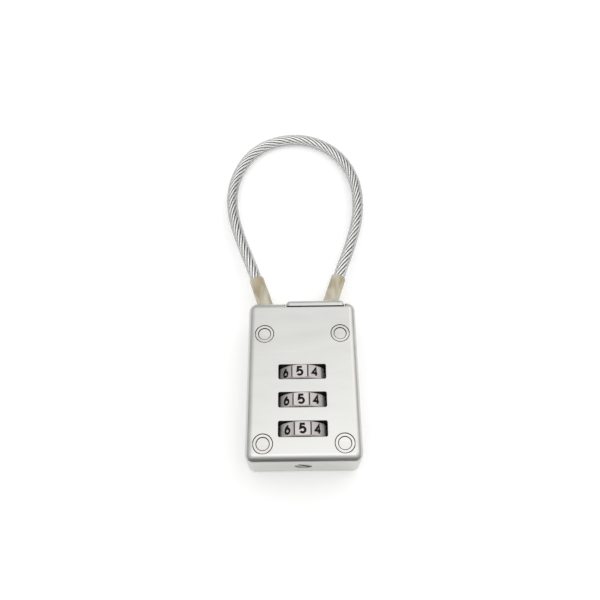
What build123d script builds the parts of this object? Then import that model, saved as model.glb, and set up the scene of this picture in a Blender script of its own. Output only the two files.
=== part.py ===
"""A three-dial combination padlock with a steel cable loop, lying on its back.

X runs across the lock, Y from the reset screw up towards the loop, and Z out of the front face.
The origin is the centre of the case's back face. All sizes are in millimetres.
"""

import os
from math import cos, pi, radians, sin, tan

from build123d import *

os.makedirs("parts", exist_ok=True)

# The case
WIDTH = 30.0
HEIGHT = 44.55
DEPTH = 13.5
CORNER = 2.2
CAVITY_CORNER = 0.8
FRONT_ROUND = 1.9
BACK_ROUND = 1.2
WALL = 1.5
FRONT_WALL = 1.3
TOP_WALL = 3.375
COVER_THICK = 1.2
COVER_THIN = 0.25
COVER_GAP = 0.1
COVER_SPARE = 1.4
TOP = HEIGHT / 2
BOTTOM = -HEIGHT / 2
CAVITY_TOP = TOP - TOP_WALL
CAVITY_BOTTOM = BOTTOM + WALL

# The dials turn about an axis along Y
AXIS_X = -0.19
AXIS_Z = 7.4
DIAL_PITCH = 7.73
DIAL_MIDDLE_Y = -6.35
DIAL_SIDES = 10
DIAL_RADIUS = 7.0
DIAL_THICK = 3.75
RIM_RADIUS = 6.45
RIM_HEIGHT = 0.35
DIAL_BORE = 3.95
NOTCH_RADIUS = 4.45
NOTCH_WIDTH = 0.9
NOTCH_DEEP = 0.7
NOTCH_TOP = -0.2
POCKET_WIDTH = 14.3
SIDE_GAP = 0.15
WINDOW_WIDTH = 12.7
WINDOW_HEIGHT = 4.12
WINDOW_CORNER = 0.45
EDGE_BREAK = 0.12
DIALS = {
    "top": DIAL_MIDDLE_Y + DIAL_PITCH,
    "middle": DIAL_MIDDLE_Y,
    "bottom": DIAL_MIDDLE_Y - DIAL_PITCH,
}
DIAL_TURNS = {"top": -5.5, "middle": -3.0, "bottom": -0.5}

# The hubs inside the dials, and how far resetting the code shifts them
HUB_RADIUS = 3.9
HUB_BORE = 2.75
HUB_LENGTH = 7.6
HUB_BELOW = 1.85
KEY_LONG = 0.9
KEY_HIGH = 1.5
FIT = 0.2
SHIFT = 1.6
WEB_LOW = 0.4
WEB_THICK = 1.0
WEB_BORE = 1.55

# The spindle, whose fins pass the hubs' slots when the code is right
SHAFT_RADIUS = 1.45
SHAFT_GAP = 0.1
FIN_RADIUS = 2.6
FIN_WIDTH = 0.9
FIN_LOW = -0.9
FIN_HIGH = 0.15
FIN_ROOT = 1.0
SHAFT_END = -19.6
CUP_RADIUS = 3.5
CUP_LOW = 12.15
CUP_HIGH = 16.2
CUP_MOUTH = 2.5
CUP_RELIEF = 3.0
CUP_STEP = 14.1
CUP_FLOOR = 12.75
PIN_HOLE = 1.2

# The rivets
RIVET_X = 10.43
RIVET_YS = (12.49, -17.86)
RIVET_HEAD = 2.45
RIVET_GAP = 0.2
RIVET_SUNK = 0.75
RIVET_FLUSH = 0.05
RIVET_STEP = 1.8
RIVET_STEP_DEPTH = 0.22
RIVET_GROOVE_WIDTH = 0.22
RIVET_GROOVE_DEPTH = 0.5
SHANK_GAP = 0.05
RIVET_SHANK = 1.4
RIVET_TAIL = 2.1
TAIL_DEEP = 0.5
POST_RADIUS = 2.2
RIVETS = [(side * RIVET_X, y) for side in (-1, 1) for y in RIVET_YS]

# The collet that grips the plug's stem
COLLET_RADIUS = 2.2
COLLET_BORE = 1.6
COLLET_FLANGE = (18.1, 3.0)
FINGER_RADIUS = 2.1
FINGER_TIP = 14.4
BEAD_RADIUS = 2.4
BEAD_TOP = 0.6
GRIP_RADIUS = 1.15
GRIP_HALF = 0.3
FINGER_SLIT = 0.5

# The reset screw and its cam
SCREW_HEAD = 2.2
SCREW_SUNK = 0.2
SLOT_WIDTH = 0.8
SLOT_DEPTH = 0.9
SLOT_TURN = 38
CAM_RADIUS = 3.8
CAM_TOP = -17.8
CAM_LOW = -20.6
CAM_BORE_DEEP = 0.3
FOLLOWER_AT = 3.3
COLLAR_LOW = -17.36
COLLAR_THICK = 1.3
COLLAR_BORE = 2.8
POST_WIDTH = 0.8

# The plug: a bar that carries one end of the cable and a grooved stem
HEAD_LOW = 21.1
HEAD_HIGH = 22.95
HEAD_MIDDLE = 3.75
HEAD_WIDTH = 16.4
HEAD_BACK = 2.0
HEAD_FRONT = DEPTH - 0.05
HEAD_ROUND = 1.1
HEAD_GAP = 0.35
HEAD_STEP = 0.25
HEAD_STEP_DEEP = 0.9
NOTCH_FLOOR = 20.66
STEM_RADIUS = 1.5
STEM_TIP = 13.4
GROOVE_RADIUS = 1.05
GROOVE_MIDDLE = 15.0
GROOVE_FLAT = 0.35
GROOVE_EDGES = (0.55, 0.65)
STEM_POINT = 0.4
TENON_RADIUS = 1.0
TENON_LONG = 1.25
BLOCK_X = (3.7, 9.5)
BLOCK_Z = (4.5, 10.1)
BLOCK_LOW = 17.4
BLOCK_GAP = 0.15

# The cable: a steel rope in a clear jacket, both ends leaning outward in bores that fit them closely
BORE_GAP = 0.03
FERRULE_GAP = 0.1
ROPE_RADIUS = 1.45
JACKET_BORE = 1.48
JACKET_RADIUS = 1.75
SLEEVE_BORE = 1.78
SLEEVE_LIP = 0.3
SLEEVE_RADIUS = 2.2
LEAN = radians(17.4)
CABLE_Z = 7.3
FERRULE_RADIUS = 1.95
FERRULE_LONG = 2.8

# The cable's route over the loop, between the two sleeves
LOOP = [
    (-19.7, 49.8, 5.8),
    (-22.95, 63.4, 4.0),
    (-22.15, 76.4, 2.5),
    (-16.3, 88.2, 1.9),
    (-6.3, 93.4, 1.85),
    (4.6, 92.8, 1.85),
    (13.8, 85.9, 2.0),
    (18.8, 74.2, 2.7),
    (19.0, 59.9, 4.2),
    (16.0, 47.4, 5.8),
]


def across(y):
    """The plane square to the dials' axis at height y. Its own x runs along X, its own y towards the back."""
    return Plane(origin=(AXIS_X, y, AXIS_Z), x_dir=(1, 0, 0), z_dir=(0, 1, 0))


def side_on(x):
    """The plane through the dials' axis that a profile is drawn on before it is revolved: x outward, y along Y."""
    return Plane(origin=(x, 0, AXIS_Z), x_dir=(1, 0, 0), z_dir=(0, 0, 1))


def outward(side):
    """The direction in which the cable leaves the lock on that side, -1 for left and 1 for right."""
    return Vector(side * sin(LEAN), cos(LEAN), 0)


def along_cable(side, exit_point, distance):
    """The plane square to a cable end, at a distance from where it leaves the lock."""
    return Plane(origin=exit_point + outward(side) * distance, x_dir=(0, 0, 1), z_dir=outward(side))


LEFT_EXIT = Vector(-10.0, TOP, CABLE_Z)
RIGHT_EXIT = Vector(7.7, HEAD_HIGH, CABLE_Z)
LEFT_FERRULE = -3.6
RIGHT_FERRULE = -2.4
SLEEVE_IN = 1.0

# The front case: a deep die-cast shell, open at the back
with BuildPart() as front_case:
    with BuildSketch():
        RectangleRounded(WIDTH, HEIGHT, CORNER)
    extrude(amount=DEPTH)
    fillet(front_case.edges().group_by(Axis.Z)[-1], FRONT_ROUND)
    fillet(front_case.edges().group_by(Axis.Z)[0], BACK_ROUND)
    with BuildSketch():
        with Locations((0, (CAVITY_TOP + CAVITY_BOTTOM) / 2)):
            RectangleRounded(WIDTH - 2 * WALL, CAVITY_TOP - CAVITY_BOTTOM, CAVITY_CORNER)
    extrude(amount=DEPTH - FRONT_WALL, mode=Mode.SUBTRACT)
    with BuildSketch(Plane.XY.offset(COVER_THICK)):
        with Locations(*RIVETS):
            Circle(POST_RADIUS)
    extrude(amount=DEPTH - FRONT_WALL - COVER_THICK)
    with Locations(Plane.XY.offset(DEPTH)):
        with Locations(*RIVETS):
            CounterBoreHole(RIVET_SHANK + SHANK_GAP, RIVET_HEAD + RIVET_GAP, RIVET_SUNK)
    # the three windows
    with BuildSketch(Plane.XY.offset(DEPTH)):
        with Locations(*[(AXIS_X, y) for y in DIALS.values()]):
            RectangleRounded(WINDOW_WIDTH, WINDOW_HEIGHT, WINDOW_CORNER)
    extrude(amount=-2 * FRONT_WALL, mode=Mode.SUBTRACT)
    fillet(front_case.edges(Select.LAST).group_by(Axis.Z)[-1], EDGE_BREAK)
    # the notch that the plug's bar sits in, and the hole for its guide block
    with BuildSketch(Plane.XZ.offset(-TOP)):
        with Locations((HEAD_MIDDLE, (HEAD_BACK + DEPTH) / 2)):
            Rectangle(HEAD_WIDTH + 2 * HEAD_GAP, DEPTH - HEAD_BACK + 2 * BLOCK_GAP)
    extrude(amount=TOP - NOTCH_FLOOR, mode=Mode.SUBTRACT)
    with BuildSketch(Plane.XZ.offset(-TOP)):
        with Locations((sum(BLOCK_X) / 2, sum(BLOCK_Z) / 2)):
            Rectangle(BLOCK_X[1] - BLOCK_X[0] + 2 * BLOCK_GAP, BLOCK_Z[1] - BLOCK_Z[0] + 2 * BLOCK_GAP)
    extrude(amount=TOP_WALL + 0.1, mode=Mode.SUBTRACT)
    # the collet's bore and the reset screw's bore
    with BuildSketch(across(CAVITY_TOP - 0.1)):
        Circle(COLLET_RADIUS)
    extrude(amount=TOP_WALL, mode=Mode.SUBTRACT)
    with BuildSketch(across(BOTTOM - 0.1)):
        Circle(SCREW_HEAD + SHANK_GAP)
    extrude(amount=WALL + 0.2, mode=Mode.SUBTRACT)
    # the slanted bore of the cable's fixed end
    with BuildSketch(along_cable(-1, LEFT_EXIT, -SLEEVE_IN)):
        Circle(SLEEVE_RADIUS + BORE_GAP)
    extrude(amount=3 * SLEEVE_IN, mode=Mode.SUBTRACT)
    with BuildSketch(along_cable(-1, LEFT_EXIT, -6 * SLEEVE_IN)):
        Circle(JACKET_RADIUS + BORE_GAP)
    extrude(amount=7 * SLEEVE_IN, mode=Mode.SUBTRACT)
    with BuildSketch(along_cable(-1, LEFT_EXIT, LEFT_FERRULE - FERRULE_LONG - 3 * FERRULE_GAP)):
        Circle(FERRULE_RADIUS + FERRULE_GAP)
    extrude(amount=FERRULE_LONG + 3.5 * FERRULE_GAP, mode=Mode.SUBTRACT)

# The back cover: a flat plate let into the case, thinned under the dials
with BuildPart() as back_cover:
    with BuildSketch():
        with Locations((0, (CAVITY_TOP + CAVITY_BOTTOM) / 2)):
            RectangleRounded(
                WIDTH - 2 * WALL - COVER_GAP, CAVITY_TOP - CAVITY_BOTTOM - COVER_GAP, CAVITY_CORNER
            )
    extrude(amount=COVER_THICK)
    with BuildSketch(Plane.XY.offset(COVER_THICK)):
        with Locations((AXIS_X, DIAL_MIDDLE_Y)):
            RectangleRounded(POCKET_WIDTH, 2 * DIAL_PITCH + DIAL_THICK + COVER_SPARE, CAVITY_CORNER)
    extrude(amount=COVER_THIN - COVER_THICK, mode=Mode.SUBTRACT)
    with Locations(Plane((0, 0, 0), x_dir=(1, 0, 0), z_dir=(0, 0, -1))):
        with Locations(*[(x, -y) for x, y in RIVETS]):
            CounterBoreHole(RIVET_SHANK + SHANK_GAP, RIVET_TAIL + SHANK_GAP, TAIL_DEEP)

# Four stepped rivets with a turned groove, one node because they are identical
with BuildPart() as rivets:
    with BuildSketch(Plane.XY.offset(DEPTH - RIVET_SUNK)):
        with Locations(*RIVETS):
            Circle(RIVET_HEAD)
    extrude(amount=RIVET_SUNK - RIVET_FLUSH)
    fillet(rivets.edges().group_by(Axis.Z)[-1], EDGE_BREAK / 2)
    with BuildSketch(Plane.XY.offset(DEPTH - RIVET_FLUSH)):
        with Locations(*RIVETS):
            Circle(RIVET_STEP)
    extrude(amount=-RIVET_STEP_DEPTH, mode=Mode.SUBTRACT)
    with BuildSketch(Plane.XY.offset(DEPTH - RIVET_FLUSH)):
        with Locations(*RIVETS):
            Circle(RIVET_STEP)
            Circle(RIVET_STEP - RIVET_GROOVE_WIDTH, mode=Mode.SUBTRACT)
    extrude(amount=-RIVET_GROOVE_DEPTH, mode=Mode.SUBTRACT)
    with BuildSketch(Plane.XY.offset(TAIL_DEEP)):
        with Locations(*RIVETS):
            Circle(RIVET_SHANK)
    extrude(amount=DEPTH - RIVET_SUNK - TAIL_DEEP)
    with BuildSketch(Plane.XY.offset(RIVET_FLUSH)):
        with Locations(*RIVETS):
            Circle(RIVET_TAIL)
    extrude(amount=TAIL_DEEP - RIVET_FLUSH)

# The dial frame: a block with three pockets for the dials and a bore that carries the hubs
FRAME_LOW = -20.2
FRAME_HIGH = 11.6
FRAME_BACK = 1.3
FRAME_FRONT = DEPTH - FRONT_WALL - 0.1
FRAME_WIDTH = 15.7
SHOULDER = 10.4
KEY_GROOVE = (1.2, 0.9, 4.1)
with BuildPart() as dial_frame:
    with BuildSketch(Plane.XY.offset(FRAME_BACK)):
        with Locations((AXIS_X, (FRAME_LOW + FRAME_HIGH) / 2)):
            Rectangle(FRAME_WIDTH, FRAME_HIGH - FRAME_LOW)
    extrude(amount=FRAME_FRONT - FRAME_BACK)
    with BuildSketch(Plane.XY.offset(FRAME_BACK)):
        with Locations(*[(AXIS_X, y) for y in DIALS.values()]):
            Rectangle(POCKET_WIDTH, DIAL_THICK + 2 * SIDE_GAP)
    extrude(amount=FRAME_FRONT - FRAME_BACK, mode=Mode.SUBTRACT)
    with BuildSketch(across(FRAME_LOW)):
        Circle(DIAL_BORE)
    extrude(amount=SHOULDER - FRAME_LOW, mode=Mode.SUBTRACT)
    with BuildSketch(across(SHOULDER)):
        Circle(SHAFT_RADIUS + SHAFT_GAP)
    extrude(amount=FRAME_HIGH - SHOULDER, mode=Mode.SUBTRACT)
    # a groove that keeps the reset collar from turning
    with BuildSketch(across(FRAME_LOW)):
        with Locations((0, -DIAL_BORE)):
            Rectangle(KEY_GROOVE[0], KEY_GROOVE[1])
    extrude(amount=KEY_GROOVE[2], mode=Mode.SUBTRACT)

# Three ten-sided dials with turned rims, each with ten notches in the lower half of its bore
for place, dial_y in DIALS.items():
    with BuildPart() as dial:
        with BuildSketch(across(dial_y - DIAL_THICK / 2)):
            RegularPolygon(DIAL_RADIUS, DIAL_SIDES, rotation=DIAL_TURNS[place])
        extrude(amount=DIAL_THICK)
        with BuildSketch(side_on(AXIS_X)):
            with BuildLine():
                Polyline(
                    (0, dial_y - DIAL_THICK / 2),
                    (RIM_RADIUS, dial_y - DIAL_THICK / 2),
                    (DIAL_RADIUS, dial_y - DIAL_THICK / 2 + RIM_HEIGHT),
                    (DIAL_RADIUS, dial_y + DIAL_THICK / 2 - RIM_HEIGHT),
                    (RIM_RADIUS, dial_y + DIAL_THICK / 2),
                    (0, dial_y + DIAL_THICK / 2),
                    close=True,
                )
            make_face()
        revolve(axis=Axis((AXIS_X, 0, AXIS_Z), (0, 1, 0)), mode=Mode.INTERSECT)
        with BuildSketch(across(dial_y - DIAL_THICK / 2)):
            Circle(DIAL_BORE)
            with PolarLocations(NOTCH_RADIUS - NOTCH_DEEP / 2, DIAL_SIDES, start_angle=90 + DIAL_TURNS[place]):
                Rectangle(NOTCH_DEEP, NOTCH_WIDTH)
        extrude(amount=DIAL_THICK, mode=Mode.SUBTRACT)
        with BuildSketch(across(dial_y + NOTCH_TOP)):
            Circle(NOTCH_RADIUS)
        extrude(amount=DIAL_THICK / 2 - NOTCH_TOP, mode=Mode.SUBTRACT)
    dial.part.label = f"dial_{place}"
    export_step(dial.part, f"parts/dial_{place}.step")

# Three hubs: a sleeve with a key for the dial outside, and a slotted web for the spindle inside
for place, dial_y in DIALS.items():
    hub_low = dial_y - HUB_BELOW
    with BuildPart() as hub:
        with BuildSketch(across(hub_low)):
            Circle(HUB_RADIUS)
        extrude(amount=HUB_LENGTH)
        with BuildSketch(across(hub_low + FIT / 2)):
            with PolarLocations(HUB_RADIUS, 1, start_angle=90 + DIAL_TURNS[place]):
                Rectangle(KEY_LONG, NOTCH_WIDTH - FIT)
        extrude(amount=KEY_HIGH)
        with BuildSketch(across(hub_low)):
            Circle(HUB_BORE)
        extrude(amount=HUB_LENGTH, mode=Mode.SUBTRACT)
        with BuildSketch(across(dial_y + WEB_LOW)):
            Circle(HUB_BORE + FIT)
            Circle(WEB_BORE, mode=Mode.SUBTRACT)
            with Locations((HUB_BORE / 2, 0)):
                Rectangle(HUB_BORE, FIN_WIDTH + FIT, mode=Mode.SUBTRACT)
        extrude(amount=WEB_THICK)
    hub.part.label = f"hub_{place}"
    export_step(hub.part, f"parts/hub_{place}.step")

# The spindle: a shaft with three fins and a cup that holds the collet shut
with BuildPart() as spindle:
    with BuildSketch(side_on(AXIS_X)):
        with BuildLine():
            Polyline(
                (0, SHAFT_END),
                (SHAFT_RADIUS, SHAFT_END),
                (SHAFT_RADIUS, CUP_LOW),
                (CUP_RADIUS, CUP_LOW),
                (CUP_RADIUS, CUP_HIGH),
                (CUP_MOUTH, CUP_HIGH),
                (CUP_MOUTH, CUP_STEP),
                (CUP_RELIEF, CUP_STEP),
                (CUP_RELIEF, CUP_FLOOR),
                (PIN_HOLE, CUP_FLOOR),
                (PIN_HOLE, STEM_TIP - 0.1),
                (0, STEM_TIP - 0.1),
                close=True,
            )
        make_face()
    revolve(axis=Axis((AXIS_X, 0, AXIS_Z), (0, 1, 0)))
    for dial_y in DIALS.values():
        with BuildSketch(across(dial_y + FIN_LOW)):
            with Locations(((FIN_RADIUS + FIN_ROOT) / 2, 0)):
                Rectangle(FIN_RADIUS - FIN_ROOT, FIN_WIDTH)
        extrude(amount=FIN_HIGH - FIN_LOW)

# The collet: a pressed-in sleeve whose four fingers grip the stem's groove
with BuildPart() as collet:
    with BuildSketch(side_on(AXIS_X)):
        with BuildLine():
            Polyline(
                (COLLET_BORE, NOTCH_FLOOR - FIT),
                (COLLET_RADIUS, NOTCH_FLOOR - FIT),
                (COLLET_RADIUS, CAVITY_TOP),
                (COLLET_FLANGE[1], CAVITY_TOP),
                COLLET_FLANGE[::-1],
                (FINGER_RADIUS, COLLET_FLANGE[0]),
                (FINGER_RADIUS, GROOVE_MIDDLE + BEAD_TOP + FIT),
                (BEAD_RADIUS, GROOVE_MIDDLE + BEAD_TOP),
                (BEAD_RADIUS, FINGER_TIP),
                (COLLET_BORE, FINGER_TIP),
                (GRIP_RADIUS, GROOVE_MIDDLE - GRIP_HALF),
                (GRIP_RADIUS, GROOVE_MIDDLE + GRIP_HALF),
                (COLLET_BORE, GROOVE_MIDDLE + BEAD_TOP),
                close=True,
            )
        make_face()
    revolve(axis=Axis((AXIS_X, 0, AXIS_Z), (0, 1, 0)))
    with BuildSketch(across(FINGER_TIP)):
        Rectangle(2 * COLLET_FLANGE[1], FINGER_SLIT)
        Rectangle(FINGER_SLIT, 2 * COLLET_FLANGE[1])
    extrude(amount=COLLET_FLANGE[0] - FINGER_TIP - FIT, mode=Mode.SUBTRACT)

# The reset screw: a slotted head, and a cam whose slanted top lifts the collar in a quarter turn
CAM_SLOPE = SHIFT / FOLLOWER_AT
with BuildPart() as reset_screw:
    with BuildSketch(across(BOTTOM + SCREW_SUNK)):
        Circle(SCREW_HEAD)
    extrude(amount=CAM_LOW - BOTTOM - SCREW_SUNK)
    with BuildSketch(across(CAM_LOW)):
        Circle(CAM_RADIUS)
    extrude(amount=CAM_TOP - CAM_LOW)
    with BuildSketch(Plane.YZ.offset(AXIS_X - CAM_RADIUS - 1)):
        with BuildLine():
            Polyline(
                (CAM_TOP, AXIS_Z),
                (CAM_TOP - 5 * CAM_SLOPE, AXIS_Z + 5),
                (CAM_TOP + 1, AXIS_Z + 5),
                (CAM_TOP + 1, AXIS_Z),
                close=True,
            )
        make_face()
    extrude(amount=2 * CAM_RADIUS + 2, mode=Mode.SUBTRACT)
    with BuildSketch(across(CAM_LOW - CAM_BORE_DEEP)):
        Circle(SHAFT_RADIUS + SHAFT_GAP)
    extrude(amount=CAM_TOP - CAM_LOW + 2 * SHIFT, mode=Mode.SUBTRACT)
    with BuildSketch(across(BOTTOM)):
        Rectangle(3 * SCREW_HEAD, SLOT_WIDTH, rotation=SLOT_TURN)
    extrude(amount=SLOT_DEPTH, mode=Mode.SUBTRACT)

# The reset collar: a ring on a post whose foot rides the cam, with a key that stops it turning
FOOT_CLEAR = 0.36
COLLAR_KEY = (-3.95, 0.7, 1.4)
POST_FOOT = CAM_TOP - SHIFT + FOOT_CLEAR
with BuildPart() as reset_collar:
    with BuildSketch(across(COLLAR_LOW)):
        Circle(CAM_RADIUS + 0.05)
        Circle(COLLAR_BORE, mode=Mode.SUBTRACT)
    extrude(amount=COLLAR_THICK)
    with BuildSketch(across(POST_FOOT)):
        with Locations((0, -FOLLOWER_AT)):
            Rectangle(POST_WIDTH, POST_WIDTH)
    extrude(amount=COLLAR_LOW - POST_FOOT + FIT)
    with BuildSketch(across(POST_FOOT)):
        with Locations((0, COLLAR_KEY[0])):
            Rectangle(POST_WIDTH, COLLAR_KEY[1])
    extrude(amount=COLLAR_KEY[2])

# The clutch spring pushes the hubs back down, and the spindle spring pushes the spindle up.
# Each is (lower end, upper end, mean radius, wire radius, turns)
CLUTCH_LOW = DIALS["top"] - HUB_BELOW + HUB_LENGTH
SPRINGS = {
    "clutch_spring": (CLUTCH_LOW + 0.07, SHOULDER - 0.05, 3.2, 0.22, 3),
    "spindle_spring": (-20.86, SHAFT_END - 0.04, 1.1, 0.14, 2.5),
}
for name, (low, high, radius, wire, turns) in SPRINGS.items():
    rise = high - low - 2.2 * wire
    with BuildPart() as spring:
        with BuildLine() as coil:
            Helix(rise / turns, rise, radius, (AXIS_X, low + 1.1 * wire, AXIS_Z), (0, 1, 0))
        with BuildSketch(Plane(origin=coil.line @ 0, z_dir=coil.line % 0)):
            Circle(wire)
        sweep(is_frenet=True)
    spring.part.label = name
    export_step(spring.part, f"parts/{name}.step")

# The detent spring: a flat leaf with a raised finger under each dial
LEAF = 0.1
LEAF_RAIL = 0.27
LEAF_FINGER = 0.34
RAIL_WIDTH = 1.6
RAIL_X = 5.2
FINGER_ENDS = [1.4, 4.0, 4.6]
FINGER_WIDTH = 2.4
with BuildPart() as detent_spring:
    with BuildSketch(Plane.XY.offset(LEAF_RAIL)):
        with Locations((AXIS_X - RAIL_X, DIAL_MIDDLE_Y), (AXIS_X + RAIL_X, DIAL_MIDDLE_Y)):
            Rectangle(RAIL_WIDTH, 2 * DIAL_PITCH + DIAL_THICK)
    extrude(amount=LEAF)
    for dial_y in DIALS.values():
        with BuildSketch(Plane.XZ.offset(-dial_y - FINGER_WIDTH / 2)):
            with BuildLine():
                crown, foot, end = FINGER_ENDS
                under = [(-end, LEAF_RAIL), (-foot, LEAF_RAIL), (-crown, LEAF_FINGER)]
                under += [(-x, z) for x, z in under[::-1]]
                over = [(x, z + LEAF) for x, z in under[::-1]]
                Polyline(*[(AXIS_X + x, z) for x, z in under + over], close=True)
            make_face()
        extrude(amount=FINGER_WIDTH)

# The plug's bar, with the guide block that holds the cable's end
with BuildPart() as plug_head:
    with BuildSketch(Plane.XZ.offset(-HEAD_LOW)):
        with Locations((HEAD_MIDDLE, (HEAD_BACK + HEAD_FRONT) / 2)):
            Rectangle(HEAD_WIDTH, HEAD_FRONT - HEAD_BACK)
    extrude(amount=HEAD_LOW - HEAD_HIGH)
    fillet(plug_head.edges().filter_by(Axis.Z).group_by(Axis.Y)[-1], HEAD_ROUND)
    fillet(plug_head.faces().sort_by(Axis.Y)[-1].edges().sort_by(Axis.Z)[-1], HEAD_ROUND)
    # its ends are stepped, so that nothing shows through the gaps beside it
    with BuildSketch(Plane.XZ.offset(-HEAD_LOW)):
        with Locations((HEAD_MIDDLE, (HEAD_BACK + HEAD_FRONT - HEAD_STEP_DEEP) / 2)):
            Rectangle(HEAD_WIDTH + 2 * HEAD_STEP, HEAD_FRONT - HEAD_STEP_DEEP - HEAD_BACK)
    extrude(amount=HEAD_LOW - TOP + HEAD_ROUND / 4)
    with BuildSketch(Plane.XZ.offset(-HEAD_LOW)):
        with Locations((sum(BLOCK_X) / 2, sum(BLOCK_Z) / 2)):
            Rectangle(BLOCK_X[1] - BLOCK_X[0], BLOCK_Z[1] - BLOCK_Z[0])
    extrude(amount=HEAD_LOW - BLOCK_LOW)
    with BuildSketch(along_cable(1, RIGHT_EXIT, -SLEEVE_IN)):
        Circle(SLEEVE_RADIUS + BORE_GAP)
    extrude(amount=3 * SLEEVE_IN, mode=Mode.SUBTRACT)
    with BuildSketch(along_cable(1, RIGHT_EXIT, RIGHT_FERRULE)):
        Circle(JACKET_RADIUS + BORE_GAP)
    extrude(amount=3 * SLEEVE_IN, mode=Mode.SUBTRACT)
    with BuildSketch(along_cable(1, RIGHT_EXIT, RIGHT_FERRULE)):
        Circle(FERRULE_RADIUS + BORE_GAP)
    extrude(amount=-2 * FERRULE_LONG, mode=Mode.SUBTRACT)
    with BuildSketch(across(HEAD_LOW)):
        Circle(TENON_RADIUS)
    extrude(amount=TENON_LONG + 0.05, mode=Mode.SUBTRACT)

# The plug's stem: a turned pin with a groove near its tip
with BuildPart() as plug_stem:
    with BuildSketch(side_on(AXIS_X)):
        with BuildLine():
            Polyline(
                (0, STEM_TIP),
                (STEM_RADIUS - STEM_POINT, STEM_TIP),
                (STEM_RADIUS, STEM_TIP + STEM_POINT),
                (STEM_RADIUS, GROOVE_MIDDLE - GROOVE_EDGES[0]),
                (GROOVE_RADIUS, GROOVE_MIDDLE - GROOVE_FLAT),
                (GROOVE_RADIUS, GROOVE_MIDDLE + GROOVE_FLAT),
                (STEM_RADIUS, GROOVE_MIDDLE + GROOVE_EDGES[1]),
                (STEM_RADIUS, HEAD_LOW),
                (TENON_RADIUS, HEAD_LOW),
                (TENON_RADIUS, HEAD_LOW + TENON_LONG),
                (0, HEAD_LOW + TENON_LONG),
                close=True,
            )
        make_face()
    revolve(axis=Axis((AXIS_X, 0, AXIS_Z), (0, 1, 0)))


def cable_route(left_start, right_end):
    """The cable's corner points, with its two ends at those distances from where it leaves the lock."""
    left = [LEFT_EXIT + outward(-1) * distance for distance in (left_start, 11.2)]
    right = [RIGHT_EXIT + outward(1) * distance for distance in (10.4, right_end)]
    return left + [Vector(*point) for point in LOOP] + right


def corner_radii(points):
    """The largest arc that each corner of a route has room for."""
    radii = []
    for before, corner, after in zip(points, points[1:], points[2:]):
        turn = radians((corner - before).get_angle(after - corner))
        shorter = min((corner - before).length, (after - corner).length)
        radii.append(0.45 * shorter / tan(turn / 2))
    return radii


rope_points = cable_route(LEFT_FERRULE - FERRULE_LONG, RIGHT_FERRULE - FERRULE_LONG)
jacket_points = cable_route(LEFT_FERRULE, RIGHT_FERRULE)
radii = corner_radii(jacket_points)

# Each cable end: a crimped ferrule inside, and a soft sleeve that bends with the cable where it comes out
CABLE_ENDS = {
    "left": (-1, LEFT_EXIT, LEFT_FERRULE, 11.5, jacket_points[1:3], radii[0]),
    "right": (1, RIGHT_EXIT, RIGHT_FERRULE, 11.2, jacket_points[-2:-4:-1], radii[-1]),
}
for name, (side, exit_point, ferrule_at, sleeve_end, bend, bend_radius) in CABLE_ENDS.items():
    with BuildPart() as ferrule:
        with BuildSketch(along_cable(side, exit_point, ferrule_at - 0.02)):
            Circle(FERRULE_RADIUS)
            Circle(ROPE_RADIUS + BORE_GAP, mode=Mode.SUBTRACT)
        extrude(amount=-FERRULE_LONG)
    ferrule.part.label = f"ferrule_{name}"
    export_step(ferrule.part, f"parts/ferrule_{name}.step")

    with BuildPart() as sleeve:
        with BuildLine():
            FilletPolyline(exit_point - outward(side) * SLEEVE_IN, *bend, radius=bend_radius)
        with BuildSketch(along_cable(side, exit_point, -SLEEVE_IN)):
            Circle(SLEEVE_RADIUS)
            Circle(SLEEVE_BORE, mode=Mode.SUBTRACT)
        sweep()
        split(bisect_by=along_cable(side, exit_point, sleeve_end), keep=Keep.BOTTOM)
        fillet(sleeve.faces().sort_by(Axis.Y)[-1].edges().sort_by(SortBy.LENGTH)[-1], SLEEVE_LIP)
    sleeve.part.label = f"sleeve_{name}"
    export_step(sleeve.part, f"parts/sleeve_{name}.step")

# The steel rope
with BuildPart() as cable:
    with BuildLine():
        FilletPolyline(*rope_points, radius=radii)
    with BuildSketch(along_cable(-1, LEFT_EXIT, LEFT_FERRULE - FERRULE_LONG)):
        Circle(ROPE_RADIUS)
    sweep()

# The clear jacket around it
with BuildPart() as cable_jacket:
    with BuildLine():
        FilletPolyline(*jacket_points, radius=radii)
    with BuildSketch(along_cable(-1, LEFT_EXIT, LEFT_FERRULE)):
        Circle(JACKET_RADIUS)
        Circle(JACKET_BORE, mode=Mode.SUBTRACT)
    sweep()

single_parts = {
    "front_case": front_case,
    "back_cover": back_cover,
    "rivets": rivets,
    "dial_frame": dial_frame,
    "spindle": spindle,
    "collet": collet,
    "reset_screw": reset_screw,
    "reset_collar": reset_collar,
    "detent_spring": detent_spring,
    "plug_head": plug_head,
    "plug_stem": plug_stem,
    "cable": cable,
    "cable_jacket": cable_jacket,
}
for name, piece in single_parts.items():
    piece.part.label = name
    export_step(piece.part, f"parts/{name}.step")

print("cable corner radii:", [round(radius, 1) for radius in radii])
print("cable length:", round(cable.part.volume / (pi * ROPE_RADIUS**2), 1))
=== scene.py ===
"""The looks of the luggage padlock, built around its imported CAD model."""

from math import cos, pi, radians, sin

import bmesh
import bpy
from mathutils import Matrix, Vector


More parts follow.
